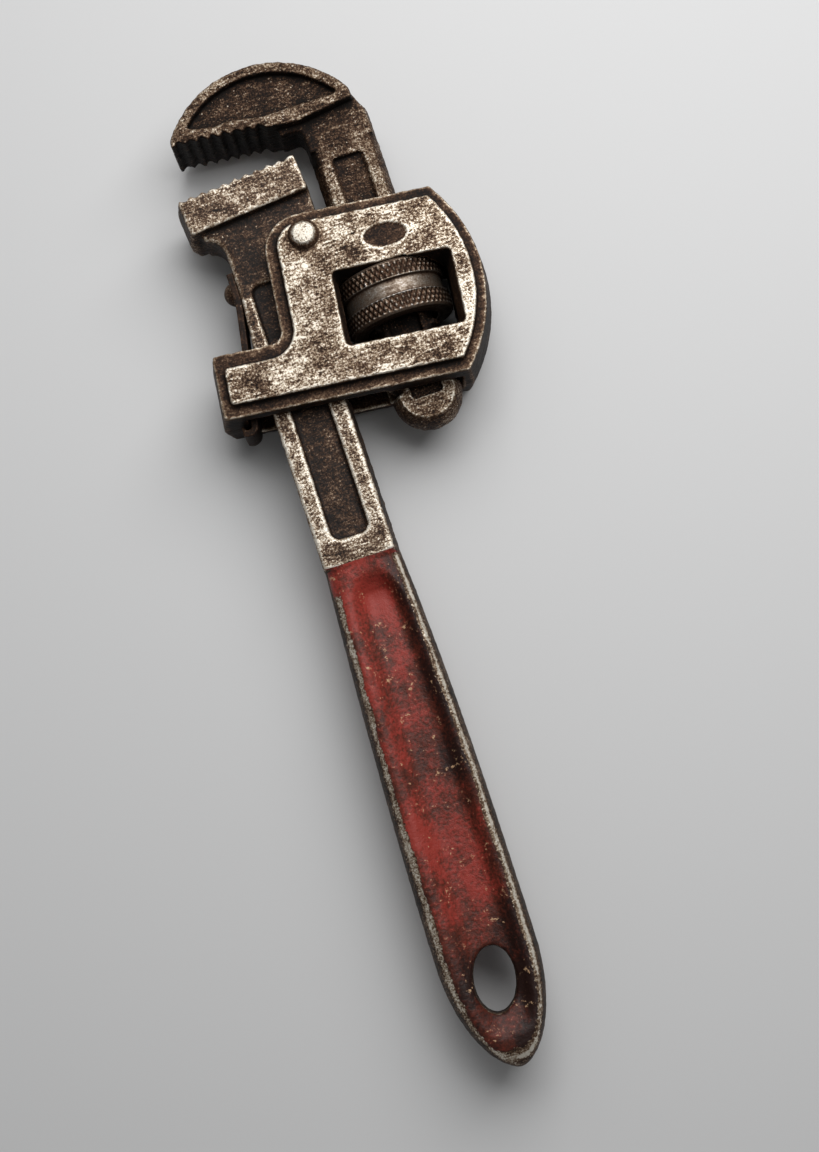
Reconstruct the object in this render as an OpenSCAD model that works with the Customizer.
// Eight-inch pipe wrench with a pinned floating frame, a threaded hook jaw
// and a knurled adjusting nut. Millimetres.
// The tool lies flat: +X across the handle, +Y from the handle's end to the
// jaws, +Z out of the front face. Every module works in bench places (x = 0 on
// the bar's centre line, y = 0 at the handle's end, z = 0 at mid thickness),
// and place() moves them to the part's own origin.

/* [Handle] */
// Length of the painted grip
grip_len = 90.7; // [88:0.1:93]
// Widest half width of the grip
grip_half_w = 9; // [8:0.1:9.6]
// Half width of the grip where it meets the bar
grip_neck_half_w = 6.9; // [6.7:0.1:7.2]
// Half thickness of the grip over its raised rims
grip_half_t = 6.4; // [5.6:0.1:7]
// Depth of the scooped trough on each face of the grip
trough_d = 3.1; // [1:0.1:3.2]
// Width of the oval hanging hole
hang_w = 7.3; // [5:0.1:7.6]
// Length of the oval hanging hole
hang_len = 11.4; // [9:0.1:12]

/* [Bar and heel jaw] */
// Half width of the machined bar
bar_half_w = 6.55; // [6.4:0.05:6.7]
// Half thickness of the machined bar
bar_half_t = 4.8; // [4.5:0.1:4.9]
// Depth of the long pocket in each face of the bar
bar_pocket_d = 1.3; // [0.5:0.1:2]
// Width of the heel jaw block
heel_w = 22.4; // [21:0.1:23]
// Height of the heel jaw block
heel_h = 6.9; // [6:0.1:8]
// Half thickness of both jaws
jaw_half_t = 6.4; // [6:0.1:6.8]
// Distance from one tooth to the next
tooth_pitch = 2.1; // [1.8:0.05:2.3]

/* [Frame] */
// Half thickness over the raised plates
frame_half_t = 9.25; // [9.2:0.05:9.8]
// Height of each raised plate above the step around it
plate_step = 1.5; // [0.8:0.1:2]
// Width of the step around the raised plates
step_w = 1.8; // [1:0.1:2.2]
// Lean of the frame from the bar at rest, in degrees
frame_lean = 6.5; // [5:0.1:7]
// Radius of the frame pin
pin_r = 2; // [1.6:0.1:2.3]

/* [Hook jaw and nut] */
// Outer radius of the round threaded shank
shank_r = 6.35; // [6.2:0.05:6.4]
// Half thickness between the shank's flats
shank_half_t = 3.95; // [3.6:0.05:4]
// Travel of the jaw in one turn of the nut
lead = 2.5; // [2:0.1:3]
// Outer radius of the nut's knurled bands
nut_r = 9.7; // [9.3:0.05:9.8]
// Length of the nut along the shank
nut_len = 9.6; // [9:0.1:10]

/* [Springs] */
// Thickness of the leaf springs
leaf_t = 1.2; // [0.8:0.1:1.3]
// Width of the leaf springs
leaf_w = 8; // [6:0.1:8.6]

/* [Hidden] */
$fn = 64;

// The object's box in bench places, used to centre it on its origin. It lies
// on the nut, which stands a little proud of both plates.
box_left = -15.71;
box_right = 37.75;
box_bottom = 0.04;
box_top = 182.5;

// Grip
hang_y = 15.2;
hang_x = -0.6;
hang_turn = -11;
grip_end = 20;            // length of the rounded end
grip_skew = 0.75;         // how far the end leans to the left
trough_y0 = 4;            // where the trough begins and ends
trough_y1 = 88.9;
grip_neck_half_t = 4.5;   // half thickness where the grip meets the bar
grip_swell_y = 70;        // where the grip reaches its full thickness

// Bar and web
bar_y0 = grip_len - 0.3;
bar_draft = 0.75;         // bulge of the bar's right side at mid thickness
pocket_y0 = 95;
pocket_y1 = 143.5;
pocket_half_w = 3.35;
relief_x = -5.5;          // left edge of the web, ground back for the spring
relief_y = 127.6;
web_right = 12.1;
pad_y = 141.5;            // the machined rails end here
pad_drop = 0.25;

// Heel jaw
heel_x = -10.3;
heel_y = 155.3;
heel_turn = 4.7;
heel_bulge = 0.9;
heel_teeth = 10;
heel_tooth_d = 0.75;

// Frame, in its own leaning places with the pin at the origin
pin_x = 8.6;
pin_y = 148;
plate_left = -5.1;
plate_top = 2.5;
plate_bottom = -27.6;
foot_left = -18.4;
foot_top = -20.8;
bulge_r = 25.1;
bulge_u = 2.8;
bulge_v = -12.7;
neck_fillet = 5;
frame_draft = 0.9;        // how far the cast sides bulge at mid thickness
draft_scale = 0.965;      // taper of the sides from mid thickness to the step
draft_u = 5;              // the taper's centre
draft_v = -12;
window_left = 3.4;
window_right = 24.8;
window_bottom = -21.4;
window_top = -7.6;
window_corner = 0.9;
window_draft = 1;         // how far the window narrows inward at each side
window_kink_z = 4.6;      // height where the window starts to open
bore_play = 0.05;         // running clearance of the bar on the pin
tunnel_half_t = bar_half_t + 0.35;
foot_wall_x = -11;        // inner face of the foot, beside the outer spring
head_r = 2.9;
head_h = 1.8;

// Hook jaw
shank_x = 20.65;
shank_end_y = 109.4;
shank_play = 0.35;
arc_x = 7.8;
arc_y = 162.7;
arc_r = 19.8;
head_tip_x = -8.9;
head_right = 25;
head_low_y = 170.9;
hook_tooth_x = -8.3;
hook_tooth_y = 172;
hook_turn = -6;
hook_teeth = 8;
hook_tooth_d = 1;
neck_half_t = 4.2;
neck_y = 164;
throat_y = 168.6;
throat_r = 1.4;
rim_w = 2.1;              // width of the rim around the head's cast pocket
head_pocket_d = 1.6;
shank_pocket_half_w = 2.8;
shank_pocket_d = 1;
shank_pocket_y0 = 114.8;
shank_pocket_y1 = 161.5;

// Thread, a trapezoid ridge on the shank's two round sides and in the nut
ridge_h = 0.95;
ridge_base = 1.5;
ridge_tip = 0.9;
thread_play = 0.15;
root_r = shank_r - ridge_h;
ridge_half_angle = asin(shank_half_t / shank_r) - 0.7;
ridge_steps = 6;
last_turn = 11;
thread_y0 = 117;
smooth_end_y = shank_end_y + shank_r + 0.4;
plain_y = thread_y0 + lead * (last_turn + 1) + 1.4;
nut_y0 = 129.2;
nut_seat_y = nut_y0 + nut_len + 0.1;
nut_play = 0.25;
nut_groove_r = nut_r - 0.75;
nut_band = 3.25;
nut_chamfer = 0.5;
nut_lead_in = 1.6;        // smooth bore below the nut's thread
turn_steps = 24;

// Springs
outer_leaf_top = 147.2;
outer_leaf_kink = 141.6;
outer_leaf_tip = 119.6;
outer_leaf_bow = 4;
outer_rivet_y = 144.4;
inner_leaf_top = 140;
inner_leaf_kink = 134.8;
inner_leaf_tip = 121.5;
inner_leaf_bow = 6.1;
inner_rivet_y = 137.6;
leaf_steps = 10;
rivet_r = 1.2;
rivet_depth = 3.6;
rivet_head_r = 2.15;
rivet_head_h = 1.6;

// ---------------------------------------------------------------- helpers

module place() {
    translate([-(box_left + box_right) / 2, -(box_bottom + box_top) / 2, nut_r])
        children();
}

// A flat shape made thick evenly about mid thickness
module slab(half_t) {
    translate([0, 0, -half_t]) linear_extrude(height = 2 * half_t) children();
}

module rounded_rect(x0, y0, x1, y1, r) {
    union() {
        translate([x0 + r, y0]) square([x1 - x0 - 2 * r, y1 - y0]);
        translate([x0, y0 + r]) square([x1 - x0, y1 - y0 - 2 * r]);
        for (x = [x0 + r, x1 - r], y = [y0 + r, y1 - r]) translate([x, y]) circle(r);
    }
}

// The same pocket in the front and the back face
module both_faces(half_t, depth) {
    for (side = [0, 1]) {
        mirror([0, 0, side]) translate([0, 0, half_t - depth])
            linear_extrude(height = depth + 4) children();
    }
}

// Moves a shape from the frame's leaning places to bench places
module lean() {
    translate([pin_x, pin_y, 0]) rotate([0, 0, -frame_lean]) children();
}

function smooth(a, b, v) =
    let (t = min(1, max(0, (v - a) / (b - a)))) t * t * (3 - 2 * t);

// Closed tube of rings, each ring a list of points in the same order
module skin(rings) {
    n = len(rings[0]);
    last = len(rings) - 1;
    sides = [for (i = [0:last - 1], j = [0:n - 1])
        for (half = [0, 1])
            half == 0
                ? [i * n + j, i * n + (j + 1) % n, (i + 1) * n + (j + 1) % n]
                : [i * n + j, (i + 1) * n + (j + 1) % n, (i + 1) * n + j]];
    start_cap = [[for (j = [n - 1:-1:0]) j]];
    end_cap = [[for (j = [0:n - 1]) last * n + j]];
    polyhedron(points = [for (r = rings) each r], faces = concat(sides, start_cap, end_cap));
}

// Triangular notches in a row: each rises steeply and falls gently
module notches(count, depth, steep) {
    for (i = [0:count - 1]) {
        translate([i * tooth_pitch, 0])
            polygon([[0, -1], [0, 0], [steep * tooth_pitch, depth],
                     [tooth_pitch, 0], [tooth_pitch, -1]]);
    }
}

// ------------------------------------------------------------- handle bar

function grip_w(y) =
    y > grip_end
        ? grip_half_w - (grip_half_w - grip_neck_half_w)
            * pow((y - grip_end) / (grip_len - grip_end), 2.2)
        : grip_half_w * pow(max(0.01, 1 - pow((grip_end - y) / grip_end, 2)), 0.575);

function grip_t(y) =
    y > grip_end
        ? grip_half_t - (grip_half_t - grip_neck_half_t) * smooth(grip_swell_y, grip_len, y)
        : grip_half_t * pow(max(0.04, 1 - pow((grip_end - y) / grip_end, 4)), 0.4);

// Centre line of the grip, which leans left at its end and right at the bar
function grip_x(y) = 1.1 * smooth(0, grip_len, y) - grip_skew;

// The trough narrows to a rounded end below the bar
function trough_w(y) = sqrt(max(0.02, 1 - pow(max(0, y - trough_y1 + 11) / 11, 2)));

// Share of the trough's depth at s: a gentle slope at the left, a steep wall at the right
function trough_side(s) = s < 0 ? 1 - smooth(0.1, 0.74, -s) : 1 - smooth(0.4, 0.82, s);

function trough(y, s) =
    trough_d * smooth(trough_y0, trough_y0 + 7, y) * (1 - smooth(trough_y1 - 5, trough_y1, y))
        * trough_side(s / trough_w(y));

// Height of the grip's face at s, from -1 at the left side to 1 at the right
function grip_z(y, s) = grip_t(y) * pow(1 - pow(abs(s), 5), 0.42) - trough(y, s);

grip_s = [-0.985, -0.94, -0.88, -0.81, -0.74, -0.66, -0.57, -0.47, -0.36, -0.24, -0.1,
          0.06, 0.22, 0.36, 0.46, 0.55, 0.63, 0.7, 0.76, 0.82, 0.88, 0.94, 0.985];

function grip_ring(y) = concat(
    [[grip_x(y) - grip_w(y), y, 0]],
    [for (s = grip_s) [grip_x(y) + s * grip_w(y), y, grip_z(y, s)]],
    [[grip_x(y) + grip_w(y), y, 0]],
    [for (i = [len(grip_s) - 1:-1:0])
        [grip_x(y) + grip_s[i] * grip_w(y), y, -grip_z(y, grip_s[i])]]);

grip_stations = concat([for (a = [4:10:84]) grip_end * (1 - cos(a))],
                       [for (y = [grip_end + 2:7:grip_len - 16]) y],
                       [for (i = [0:8]) grip_len - 12 + 1.5 * i]);

module grip() {
    skin([for (i = [len(grip_stations) - 1:-1:0]) grip_ring(grip_stations[i])]);
}

// Plan of the bar, the web and the fillets that run into the heel jaw
module bar_plan() {
    fillet = 5;
    polygon(concat(
        [[-bar_half_w, bar_y0], [bar_half_w, bar_y0]],
        [for (a = [0:15:60]) [bar_half_w + fillet * (1 - cos(a)), 140.4 + fillet * sin(a)]],
        [[web_right, 147.4], [web_right, 159], [-8.5, 157]],
        [for (a = [75:-15:0]) [relief_x - 4 + 4 * cos(a), 150.4 + 4 * sin(a)]],
        [[relief_x, 141], [relief_x - 0.7, 131.8], [-bar_half_w, relief_y]]));
}

module heel_block() {
    hull() {
        slab(jaw_half_t) rounded_rect(0, 0, heel_w, heel_h, 0.6);
        slab(1.5) translate([-heel_bulge, -heel_bulge])
            rounded_rect(0, 0, heel_w + heel_bulge, heel_h + heel_bulge, 1);
    }
}

module hang_hole() {
    translate([hang_x, hang_y, 0]) rotate([0, 0, hang_turn]) slab(12)
        scale([hang_w / hang_len, 1]) circle(hang_len / 2);
}

module handle_bar() {
    color("firebrick") place() difference() {
        union() {
            grip();
            slab(bar_half_t) bar_plan();
            // drafted right side of the bar below the frame
            translate([0, 119, 0]) rotate([90, 0, 0])
                linear_extrude(height = 119 - bar_y0)
                    polygon([[bar_half_w - 1, -bar_half_t + 0.3], [bar_half_w, -bar_half_t + 0.3],
                             [bar_half_w + bar_draft, 0],
                             [bar_half_w, bar_half_t - 0.3], [bar_half_w - 1, bar_half_t - 0.3]]);
            translate([heel_x, heel_y, 0]) rotate([0, 0, heel_turn]) heel_block();
        }
        // teeth of the heel jaw
        translate([heel_x, heel_y, 0]) rotate([0, 0, heel_turn]) translate([0.5, heel_h, 0])
            slab(9) mirror([0, 1]) notches(heel_teeth, heel_tooth_d, 0.35);
        both_faces(bar_half_t, bar_pocket_d)
            rounded_rect(-pocket_half_w, pocket_y0, pocket_half_w, pocket_y1, 1.6);
        both_faces(bar_half_t, pad_drop) intersection() {
            translate([-8, pad_y]) square([30, 40]);
            translate([heel_x, heel_y]) rotate(heel_turn) translate([-10, -30]) square([60, 30]);
        }
        hang_hole();
        translate([pin_x, pin_y, 0]) cylinder(h = 30, r = pin_r + bore_play, center = true);
        translate([relief_x - 3, outer_rivet_y, 0]) rotate([0, 90, 0])
            cylinder(h = 3 + rivet_depth, r = rivet_r);
        translate([bar_half_w - rivet_depth, inner_rivet_y, 0]) rotate([0, 90, 0])
            cylinder(h = rivet_depth + 3, r = rivet_r);
    }
}

// ------------------------------------------------------------------ frame

// Outline of the frame, grown evenly by g
module frame_plan(g) {
    corner = 4.2 + g;
    fillet = neck_fillet - g;
    difference() {
        union() {
            intersection() {
                translate([bulge_u, bulge_v]) circle(r = bulge_r + g, $fn = 128);
                union() {
                    translate([plate_left - g, plate_bottom - g])
                        square([45, plate_top - plate_bottom + 2 * g - corner]);
                    translate([plate_left - g + corner, plate_bottom - g])
                        square([45, plate_top - plate_bottom + 2 * g]);
                    translate([plate_left - g + corner, plate_top + g - corner])
                        circle(corner);
                }
            }
            // foot
            rounded_rect(foot_left - g, plate_bottom - g, plate_left + 2, foot_top + g, 0.8);
            translate([plate_left - g - fillet, foot_top + g - 1])
                square([fillet + 1, fillet + 1]);
        }
        translate([plate_left - g - fillet, foot_top + g + fillet]) circle(fillet);
    }
}

// Outline of the window at height z; above the passages its walls open outward
function window_ring(z) =
    let (grow = max(0, abs(z) - window_kink_z) * window_draft / (frame_half_t - window_kink_z),
         u = (window_right - window_left) / 2 - window_draft + grow - window_corner,
         v = (window_top - window_bottom) / 2 - window_draft + grow - window_corner)
    [for (corner = [[u, v], [-u, v], [-u, -v], [u, -v]], i = [0:5])
        let (a = 18 * i + (corner[0] > 0 ? (corner[1] > 0 ? 0 : 270) : (corner[1] > 0 ? 90 : 180)))
        [corner[0] + window_corner * cos(a), corner[1] + window_corner * sin(a), z]];

module frame_window() {
    translate([(window_left + window_right) / 2, (window_bottom + window_top) / 2, 0])
        skin([for (z = [frame_half_t + 1, window_kink_z, -window_kink_z, -frame_half_t - 1])
            window_ring(z)]);
}

module frame() {
    color("tan") place() difference() {
        lean() union() {
            slab(frame_half_t) frame_plan(0);
            for (side = [0, 1]) {
                mirror([0, 0, side]) translate([draft_u, draft_v, 0])
                    linear_extrude(height = frame_half_t - plate_step, scale = draft_scale)
                        translate([-draft_u, -draft_v]) frame_plan(step_w + frame_draft);
            }
        }
        lean() frame_window();
        // passage for the bar between the two plates, open to the left above the foot
        translate([foot_wall_x, 100, -tunnel_half_t])
            cube([shank_x - shank_r - shank_play - foot_wall_x + 0.2, 70, 2 * tunnel_half_t]);
        // passage for the shank, square to its flats
        translate([shank_x - shank_r - shank_play, 100, -shank_half_t - shank_play])
            cube([2 * (shank_r + shank_play), 70, 2 * (shank_half_t + shank_play)]);
        // turned seat for the nut
        translate([shank_x, nut_y0 - 3.4, 0]) rotate([-90, 0, 0])
            cylinder(h = nut_seat_y - nut_y0 + 3.4, r = nut_r + nut_play);
        translate([pin_x, pin_y, 0]) cylinder(h = 30, r = pin_r, center = true);
    }
}

module frame_pin() {
    // the domed head is a slice of the sphere that meets its base circle
    dome_r = (head_r * head_r + head_h * head_h) / (2 * head_h);
    color("gainsboro") place() translate([pin_x, pin_y, 0]) union() {
        translate([0, 0, -frame_half_t]) cylinder(h = 2 * frame_half_t + 0.2, r = pin_r);
        intersection() {
            translate([0, 0, frame_half_t + head_h - dome_r]) sphere(dome_r);
            translate([0, 0, frame_half_t]) cylinder(h = head_h + 1, r = head_r + 0.5);
        }
    }
}

// --------------------------------------------------------------- hook jaw

// One ridge segment, from angle a0 to a1 about the axis, climbing with the lead;
// 90 degrees is +X and the angle grows from +Z towards +X
module ridge(a0, a1, steps, turn, y_start, r_base, r_tip, base, tip) {
    outward = r_tip > r_base ? 1 : -1;
    profile = [[r_base, -base / 2], [r_tip, -tip / 2], [r_tip, tip / 2], [r_base, base / 2]];
    skin([for (i = [0:steps])
        let (a = a0 + (a1 - a0) * i / steps,
             y = y_start + lead * (turn + a / 360))
        [for (p = profile) [p[0] * sin(a), y + outward * p[1], p[0] * cos(a)]]]);
}

// Half outline of the shank's round body about its axis
function shank_profile() = concat(
    [for (a = [0:7.5:90]) [shank_r * sin(a), shank_end_y + shank_r * (1 - cos(a))]],
    [[shank_r, smooth_end_y], [root_r, smooth_end_y + 0.5],
     [root_r, plain_y - 0.5], [shank_r, plain_y], [shank_r, 170], [0, 170]]);

module shank() {
    intersection() {
        translate([shank_x, 0, 0]) rotate([-90, 0, 0]) rotate_extrude() polygon(shank_profile());
        translate([shank_x - 10, 100, -shank_half_t]) cube([20, 80, 2 * shank_half_t]);
    }
    for (side = [90, 270], turn = [0:last_turn]) {
        translate([shank_x, 0, 0])
            ridge(side - ridge_half_angle, side + ridge_half_angle, ridge_steps, turn,
                  thread_y0, root_r - 0.3, shank_r, ridge_base, ridge_tip);
    }
}

// Plan of the hook head: a round back over a straight tooth line
module head_plan() {
    intersection() {
        translate([arc_x, arc_y]) circle(r = arc_r, $fn = 128);
        polygon([[head_tip_x, hook_tooth_y], [shank_x - shank_r, head_low_y - 1.4],
                 [head_right - 0.2, head_low_y], [head_right, 190], [head_tip_x, 190]]);
    }
}

// Plan of the neck that joins the head to the shank
module neck_plan() {
    left = shank_x - shank_r;
    union() {
        polygon([[left, neck_y], [shank_x + shank_r - 0.4, neck_y], [26.4, 169],
                 [head_right - 0.4, 173], [left - 4, 173], [left - 4, throat_y], [left, throat_y]]);
        difference() {
            translate([left - throat_r, throat_y - throat_r]) square(throat_r);
            translate([left - throat_r, throat_y - throat_r]) circle(throat_r);
        }
    }
}

module hook_jaw() {
    color("dimgray") place() difference() {
        union() {
            slab(jaw_half_t) head_plan();
            slab(neck_half_t) neck_plan();
            shank();
        }
        translate([hook_tooth_x, hook_tooth_y, 0]) rotate([0, 0, hook_turn])
            slab(9) notches(hook_teeth, hook_tooth_d, 0.35);
        both_faces(jaw_half_t, head_pocket_d) intersection() {
            translate([arc_x, arc_y]) circle(r = arc_r - rim_w, $fn = 128);
            polygon([[-5.4, 190], [-5.4, 174.6], [-1, 173.6], [3, 173.7], [8, 172.6],
                     [22.4, 172.5], [22.4, 190]]);
        }
        both_faces(shank_half_t, shank_pocket_d)
            rounded_rect(shank_x - shank_pocket_half_w, shank_pocket_y0,
                         shank_x + shank_pocket_half_w, shank_pocket_y1, 0.7);
    }
}

// ---------------------------------------------------------- adjusting nut

module adjusting_nut() {
    bore_r = shank_r + thread_play;
    tip_r = root_r + thread_play;
    c = nut_chamfer;
    base = lead - ridge_tip - 2 * thread_play;
    tip = lead - ridge_base - 2 * thread_play;
    // the nut's ridge runs half a lead away from the shank's
    first_y = nut_y0 + nut_lead_in + base / 2;
    turns = (nut_y0 + nut_len - base / 2 - 0.1 - first_y) / lead;
    // the angle at which a shank groove passes the ridge's start
    start = 360 * ((first_y - thread_y0) / lead - 0.5);
    color("slategray") place() translate([shank_x, 0, 0]) union() {
        translate([0, nut_y0, 0]) rotate([-90, 0, 0]) rotate_extrude()
            polygon([[bore_r, 0], [nut_r - c, 0], [nut_r, c], [nut_r, nut_band],
                     [nut_groove_r, nut_band + 0.2], [nut_groove_r, nut_len - nut_band - 0.2],
                     [nut_r, nut_len - nut_band], [nut_r, nut_len - c], [nut_r - c, nut_len],
                     [bore_r, nut_len]]);
        ridge(start, start + 360 * turns, round(turn_steps * turns), 0.5,
              thread_y0, bore_r + 0.25, tip_r, base, tip);
    }
}

// ---------------------------------------------------------------- springs

// Side outline of a leaf that lies flat above its kink and bows away below it
function leaf_edge(x, top, kink, tip, bow, side) = concat(
    [[x, top]],
    [for (i = [0:leaf_steps])
        let (t = i / leaf_steps) [x + side * bow * pow(t, 1.05), kink - (kink - tip) * t]]);

module leaf(x, top, kink, tip, bow, side, rivet_y) {
    inner = leaf_edge(x, top, kink, tip, bow, side);
    outer = leaf_edge(x + side * leaf_t, top, kink, tip, bow, side);
    difference() {
        slab(leaf_w / 2)
            polygon(concat(inner, [for (i = [len(outer) - 1:-1:0]) outer[i]]));
        translate([x, rivet_y, 0]) rotate([0, 90, 0])
            cylinder(h = 6, r = rivet_r, center = true);
    }
}

// Rivet through a leaf into the bar's edge; side is the way its head faces
module leaf_rivet(x, y, side) {
    dome_r = (rivet_head_r * rivet_head_r + rivet_head_h * rivet_head_h) / (2 * rivet_head_h);
    translate([x, y, 0]) rotate([0, side * 90, 0]) union() {
        translate([0, 0, -rivet_depth])
            cylinder(h = rivet_depth + leaf_t + 0.1, r = rivet_r - 0.01);
        intersection() {
            translate([0, 0, leaf_t + rivet_head_h - dome_r]) sphere(dome_r);
            translate([0, 0, leaf_t]) cylinder(h = 3, r = rivet_head_r + 0.5);
        }
    }
}

module outer_leaf_spring() {
    curl_r = 0.7;
    tip_x = relief_x - outer_leaf_bow;
    color("darkslategray") place() union() {
        leaf(relief_x, outer_leaf_top, outer_leaf_kink, outer_leaf_tip,
             outer_leaf_bow, -1, outer_rivet_y);
        // curled tip below the foot
        slab(leaf_w / 2) intersection() {
            translate([tip_x, outer_leaf_tip]) difference() {
                translate([-curl_r - leaf_t, 0]) circle(curl_r + leaf_t);
                translate([-curl_r - leaf_t, 0]) circle(curl_r);
            }
            translate([tip_x - 3, outer_leaf_tip - 3]) square([5, 3.1]);
        }
    }
}

module outer_spring_rivet() {
    color("dimgray") place() leaf_rivet(relief_x, outer_rivet_y, -1);
}

module inner_leaf_spring() {
    color("darkslategray") place()
        leaf(bar_half_w, inner_leaf_top, inner_leaf_kink, inner_leaf_tip,
             inner_leaf_bow, 1, inner_rivet_y);
}

module inner_spring_rivet() {
    color("dimgray") place() leaf_rivet(bar_half_w, inner_rivet_y, 1);
}

handle_bar();
frame();
frame_pin();
hook_jaw();
adjusting_nut();
outer_leaf_spring();
outer_spring_rivet();
inner_leaf_spring();
inner_spring_rivet();
